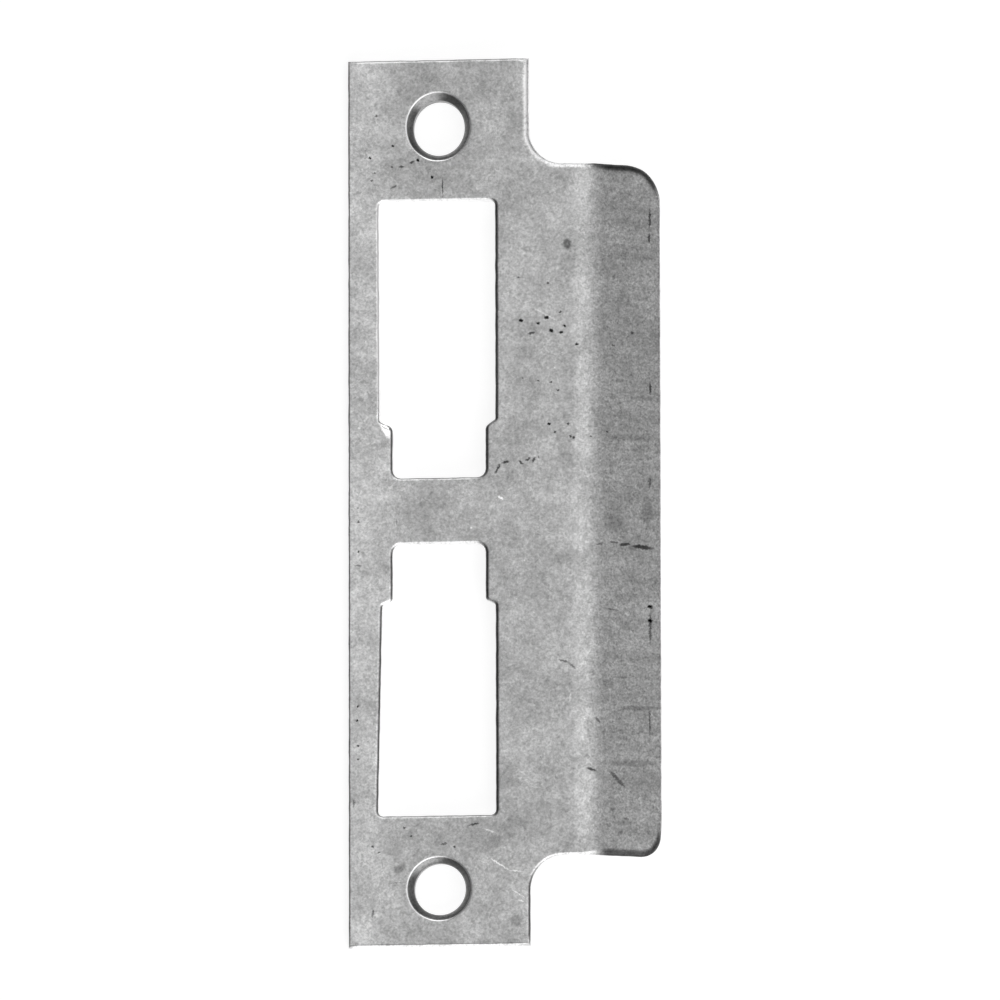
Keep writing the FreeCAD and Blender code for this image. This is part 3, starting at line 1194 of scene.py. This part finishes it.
@dataclass(frozen=True)
class Studio:
    """A pale floor that the plate rests on, soft lamps and the camera."""

    plate_box: tuple[Vector, Vector]
    floor_half: float = 3.0
    floor_tone: float = 0.8
    floor_dim: float = 0.35
    floor_glow: float = 0.8
    ambient: float = 0.12
    view_across: float = math.radians(7.2)
    view_along: float = math.radians(7.3)
    view_roll: float = math.radians(-0.1)
    view_centre: Triple = (0.00966, 0.00085, 0.0024)
    view_width: float = 0.15613
    view_distance: float = 3.0
    view_end: float = 30.0
    lamps: tuple[SoftBox, ...] = (
        SoftBox("overhead", (0.17, 0.03, 1.0), distance=0.75, size=0.62, brightness=1.06),
        SoftBox("lip_side", (1.0, 0.15, 0.75), distance=0.8, size=0.6, brightness=0.34),
        SoftBox("front", (0.42, -1.0, 0.6), distance=0.8, size=0.95, brightness=1.7),
        SoftBox("far_side", (0.0, 1.0, 0.8), distance=0.9, size=0.6, brightness=1.5),
    )

    def build(self) -> None:
        """Set up the whole studio."""
        self.lay_floor()
        for lamp in self.lamps:
            lamp.build(Vector(self.view_centre))
        self.light_room()
        self.aim_camera()
        bpy.context.scene.view_settings.view_transform = "Standard"

    def lay_floor(self) -> None:
        """Lay the floor so that the plate's left edge and the tip of its lip rest on it."""
        low, high = self.plate_box
        slope = math.atan2(-low.z, high.x - low.x)
        mesh = bmesh.new()
        bmesh.ops.create_grid(mesh, x_segments=1, y_segments=1, size=self.floor_half)
        bmesh.ops.rotate(mesh, verts=mesh.verts, cent=(0, 0, 0), matrix=Matrix.Rotation(slope, 3, "Y"))
        bmesh.ops.translate(mesh, verts=mesh.verts, vec=(low.x, 0, 0))
        floor = finish_mesh("floor", mesh)
        floor.data.materials.append(self.floor_material())

    def floor_material(self) -> Material:
        """Make the pale floor: white to the eye, with the plate's shadow kept.

        Returns:
            The material.
        """
        material, graph = new_material("pale_floor")
        matte = graph.add("ShaderNodeBsdfDiffuse", {"Color": grey(self.floor_tone)})
        path = graph.add("ShaderNodeLightPath")
        seen = graph.math("MAXIMUM", path.outputs["Is Camera Ray"], path.outputs["Is Glossy Ray"])
        seen = graph.math("MAXIMUM", seen, path.outputs["Is Transmission Ray"])
        dim = graph.add("ShaderNodeBsdfDiffuse", {"Color": grey(self.floor_dim)})
        glow = graph.add("ShaderNodeEmission", {"Strength": self.floor_glow})
        bright = graph.add("ShaderNodeAddShader", {0: dim.outputs[0], 1: glow.outputs[0]})
        both = graph.add("ShaderNodeMixShader", {0: seen, 1: matte.outputs[0], 2: bright.outputs[0]})
        clear = graph.add("ShaderNodeBsdfTransparent")
        below = graph.add("ShaderNodeNewGeometry").outputs["Backfacing"]
        surface = graph.add("ShaderNodeMixShader", {0: below, 1: both.outputs[0], 2: clear.outputs[0]})
        graph.add("ShaderNodeOutputMaterial", {"Surface": surface.outputs[0]})
        return material

    def light_room(self) -> None:
        """Fill the room with plain, even light."""
        world = bpy.data.worlds.new("room")
        world.use_nodes = True
        bpy.context.scene.world = world
        graph = Graph(world.node_tree)
        sky = graph.add("ShaderNodeBackground", {"Color": grey(self.ambient), "Strength": 1.0})
        graph.add("ShaderNodeOutputWorld", {"Surface": sky.outputs[0]})

    def aim_camera(self) -> None:
        """Look down on the plate from the side of its lip and its lower end, from far away."""
        data = bpy.data.cameras.new("camera")
        data.lens = data.sensor_width * self.view_distance / self.view_width
        data.clip_end = self.view_end
        camera = put_in_scene("camera", data)
        bpy.context.scene.camera = camera
        back = Vector((math.tan(self.view_across), -math.tan(self.view_along), 1)).normalized()
        right = Vector((0, 1, 0)).cross(back).normalized()
        turn = Matrix((right, back.cross(right), back)).transposed() @ Matrix.Rotation(self.view_roll, 3, "Z")
        camera.matrix_world = Matrix.Translation(Vector(self.view_centre) + back * self.view_distance) @ (
            turn.to_4x4())


def pits(*places: Pair, size: float = 0.6, strength: float = 0.95) -> tuple[Mark, ...]:
    """Return small dark pits of one size, a little longer than wide."""
    width = 0.8 * size
    return tuple(Mark(x, y, size, width, strength=strength) for x, y in places)


def streak(x: float, y: float, length: float, turn: float, width: float = 0.4,
           strength: float = 0.75) -> Mark:
    """Return one dark streak."""
    return Mark(x, y, length, width, turn, strength)


def scratch(x: float, y: float, length: float, turn: float, width: float = 0.22,
            strength: float = 0.6) -> Mark:
    """Return one scratch that shows bright metal."""
    return Mark(x, y, length, width, turn, strength, Tone.LIGHT)


def blotch(x: float, y: float, length: float, width: float, turn: float = 0.0,
           strength: float = 0.2) -> Mark:
    """Return one soft, faint dark patch."""
    return Mark(x, y, length, width, turn, strength)


UPPER_END_MARKS = (
    streak(0.7, 50.3, 3.2, 90, width=0.2),
    # A wide, faint darkening over the middle of the upper end.
    blotch(-6.5, 52.2, 16.0, 6.0, strength=0.06),
    *pits((-10.8, 55.2), (-7.1, 57.0), (-1.0, 52.0), (-3.2, 54.7)),
    *pits((-7.3, 53.7), (-10.5, 51.6), (-10.1, 52.8), (-9.8, 61.8), size=0.4, strength=0.7),
    streak(-5.8, 53.7, 0.9, 0),
    streak(-4.1, 54.4, 0.9, 25),
    streak(-7.1, 50.5, 1.2, 25, strength=0.6),
)

BOLT_SIDE_MARKS = (
    blotch(20.3, 41.0, 1.4, 1.7, strength=0.6),
    scratch(20.3, 41.0, 0.5, 0, width=0.5, strength=0.25),
    blotch(14.0, 40.3, 1.7, 1.0),
    scratch(17.0, 29.9, 4.7, -29, strength=0.35),
    *pits((13.0, 29.1), (17.0, 29.5), (17.8, 27.4), size=0.75),
    *pits((15.7, 28.6), (19.9, 28.1), (19.3, 27.1), (21.8, 25.2), (17.4, 12.7)),
    *pits((12.6, 35.9), (17.3, 34.9), (15.7, 19.5), (17.7, 19.3), (19.2, 30.3), size=0.4, strength=0.8),
    *pits((18.8, 18.0), (20.8, 10.7), (21.3, 10.5), (18.3, 11.4), (20.4, 12.7), size=0.45, strength=0.8),
    streak(14.7, 27.1, 1.4, 12),
)

BRIDGE_MARKS = (
    streak(9.3, 5.8, 1.7, 60),
    streak(10.5, 6.8, 1.3, 20),
    streak(13.0, 6.7, 1.1, -40),
    streak(14.1, 7.2, 1.0, 30),
    streak(15.0, 7.1, 0.9, 55),
    scratch(9.8, 1.2, 1.0, -25, width=0.4, strength=1.0),
    scratch(5.1, -3.5, 0.5, 40, width=0.3, strength=0.9),
    scratch(-12.5, 12.6, 0.5, 0, width=0.3, strength=0.6),
    blotch(-2.6, 0.4, 1.5, 0.9, 50),
    blotch(19.6, -8.4, 3.0, 2.0, 30, strength=0.13),
    streak(-6.6, -2.3, 0.9, 90, width=0.2, strength=0.5),
    streak(-12.7, -9.1, 1.1, 0, width=0.25, strength=0.6),
    *pits((-12.7, -2.2), (-12.6, -6.9), size=0.4),
)

# Painted highlight on the rolled edge of the bolt window's left shoulder, drawn as bright scratches.
SHOULDER_HIGHLIGHT_MARKS = (
    scratch(-8.45, 12.5, 3.3, -66, width=1.1, strength=2.0),
    scratch(-8.0, 12.0, 1.9, -85, width=0.8, strength=2.0),
    scratch(-9.4, 14.1, 2.0, -80, width=0.5, strength=2.0),
)

UPPER_LIP_MARKS = (
    *pits((23.9, 10.7), (26.3, 11.5), size=0.4, strength=0.8),
    streak(32.7, 45.6, 3.2, 90, width=0.36),
    streak(32.6, 42.4, 1.6, 90, width=0.3),
    blotch(29.8, 39.3, 8.0, 1.3),
    blotch(28.6, 31.8, 3.6, 2.2, 60),
    *pits((30.0, 27.3), (27.2, 25.2), size=0.55, strength=0.7),
    streak(32.7, 18.7, 1.9, 90),
    blotch(29.7, 10.7, 8.0, 1.1),
    streak(32.6, 3.8, 1.9, 90, strength=0.6),
    blotch(27.6, -1.7, 6.0, 3.6, 90, strength=0.22),
    blotch(32.2, -0.8, 3.6, 1.8, 90, strength=0.35),
)

LOWER_LIP_MARKS = (
    streak(31.5, -6.4, 3.4, -5, width=0.75, strength=0.85),
    streak(28.9, -6.1, 1.8, 5, width=0.55, strength=0.8),
    streak(27.2, -5.8, 1.6, -10, width=0.35, strength=0.6),
    streak(25.2, -6.2, 1.2, 15, width=0.3, strength=0.5),
    *pits((32.6, -15.7), (32.6, -17.9), size=0.8, strength=1.0),
    streak(32.6, -19.0, 5.2, 90, width=0.4, strength=0.7),
    streak(27.0, -16.4, 2.1, -8, width=0.25, strength=0.55),
    blotch(29.2, -18.9, 2.3, 1.7),
    streak(28.3, -27.0, 2.1, 0, strength=0.4),
    blotch(30.8, -31.7, 6.6, 0.8, 2, strength=0.35),
    streak(32.5, -33.8, 4.2, 90, width=0.28, strength=0.65),
    streak(24.9, -33.9, 1.3, -50, strength=0.6),
    blotch(30.2, -40.4, 7.8, 1.1, 3, strength=0.3),
    streak(23.9, -41.6, 1.7, -15),
    streak(27.7, -43.0, 3.8, -48, width=0.6, strength=0.65),
    *pits((27.0, -47.8), (29.0, -49.2), (26.5, -50.3), (28.2, -51.3), size=0.8, strength=0.4),
)

LOWER_FACE_MARKS = (
    streak(19.6, -24.6, 1.7, -15, strength=0.6),
    streak(21.0, -25.4, 1.5, -42, strength=0.55),
    scratch(20.6, -30.3, 1.7, 80, strength=0.4),
    *pits((-12.7, -31.2), (-12.9, -33.5), (-12.7, -37.4), (-12.7, -39.5), size=0.45),
    streak(-13.4, -46.5, 1.3, 90, strength=0.5),
)

LOWER_END_MARKS = (
    # A wide, faint darkening over the middle of the lower end.
    blotch(1.8, -51.4, 24.0, 6.0, strength=0.08),
    streak(5.4, -50.0, 1.9, 8, width=0.35),
    *pits((-5.5, -50.4), (-4.4, -51.7), (2.4, -53.5), (-10.4, -53.3), (-9.5, -54.2), size=0.45,
          strength=0.8),
    streak(0.8, -53.0, 1.3, 10, strength=0.6),
    blotch(-6.2, -56.8, 1.9, 1.4, 20, strength=0.35),
    streak(-6.6, -59.0, 3.0, 4, width=0.2, strength=0.35),
    streak(-10.4, -63.8, 1.3, 80, strength=0.6),
    blotch(12.2, -65.2, 1.8, 2.3, 15, strength=0.3),
    scratch(7.8, -51.0, 2.5, -20),
    scratch(9.5, -56.3, 3.7, -33, strength=0.7),
    scratch(12.0, -57.4, 2.3, -5, strength=0.6),
    scratch(6.8, -55.9, 1.9, -20, strength=0.4),
    scratch(12.5, -61.0, 2.5, -32, strength=0.5),
    scratch(12.8, -62.1, 1.1, -10),
)

MARKS = {
    Finish.FACE: (*UPPER_END_MARKS, *BOLT_SIDE_MARKS, *BRIDGE_MARKS, *SHOULDER_HIGHLIGHT_MARKS),
    Finish.LOWER_FACE: (*LOWER_FACE_MARKS, *LOWER_END_MARKS),
    Finish.LIP: (*UPPER_LIP_MARKS, *LOWER_LIP_MARKS),
}


def clear_start_up() -> None:
    """Remove what the session holds before the plate is made."""
    kept = {*frame["nodes"].values(), *frame["bodies"].values()}
    for item in list(bpy.data.objects):
        if item not in kept:
            bpy.data.objects.remove(item)


def plate_from_frame() -> StrikePlate:
    """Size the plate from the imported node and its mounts, and from the press's own sizes.

    Returns:
        The plate, not built yet.
    """
    low, high = (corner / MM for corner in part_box(NODE))
    mounts = {mount["name"]: mount["dims"] for mount in frame["record"]["mounts"]}
    pattern = mounts["screws"]
    fold = Fold(thickness=high.z)
    blank = Blank(left=low.x, upper_end=high.y, lower_end=low.y, thickness=high.z, reach=fold.reach)
    bolt_window = Window(Side.UPPER, throat_end=4.6, shoulder=12.6, rise=1.1, nose=1.0, end=48.2, lean=0.1)
    latch_window = Window(Side.LOWER, throat_end=5.9, shoulder=14.8, rise=0.6, nose=0.7, end=48.5, lean=0.7)
    half_spacing, radius = pattern["spacing_y_mm"] / 2, pattern["hole_r_mm"]
    screws = (
        ScrewHole(0, half_spacing, radius, stretch=1.08, skew=0.3),
        ScrewHole(0, -half_spacing, radius),
    )
    return StrikePlate(blank, fold, (bolt_window, latch_window), screws)


def finishes(plate: StrikePlate) -> dict[Finish, Material]:
    """Make the plate's materials.

    Args:
        plate: The plate that they dress.

    Returns:
        A material for each finish.
    """
    groups = ZincGroups()
    front = {
        finish: Zinc(f"zinc_{finish.name.lower()}", tone=0.55, roughness=0.42).build(
            groups, PlacedMarks(marks, plate.blank.left, plate.fold.start))
        for finish, marks in MARKS.items()
    }
    return {
        **front,
        Finish.BACK: Zinc("zinc_back", tone=0.55, roughness=0.46).build(groups),
        # The sheared walls' tones are near white: bare steel in part, and in part painted highlight.
        Finish.BURNISH: Zinc("burnished_edge_highlit", tone=0.95, roughness=0.3, cloud=0.15,
                             grain=0.2).build(groups),
        Finish.FRACTURE: Zinc("fractured_edge_highlit", tone=1.0, roughness=0.5, cloud=0.3).build(groups),
        # The countersink's tone is a darker copy of the zinc: painted shade in the cone.
        Finish.CUT: Zinc("countersink_shaded", tone=0.28, roughness=0.32, cloud=0.3, pit_share=0.4,
                         pit_depth=0.8).build(groups),
    }


def main() -> None:
    """Build the plate, dress it and set up the studio."""
    logging.basicConfig(level=logging.INFO, format="%(message)s")
    clear_start_up()
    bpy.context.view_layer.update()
    plate = plate_from_frame()
    piece = plate.build()
    made = finishes(plate)
    for finish in Finish:
        piece.data.materials.append(made[finish])
    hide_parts(NODE)
    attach(piece, "root")
    log.info("%s: %d faces", piece.name, len(piece.data.polygons))
    Studio(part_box(NODE)).build()


if __name__ == "__main__":
    main()
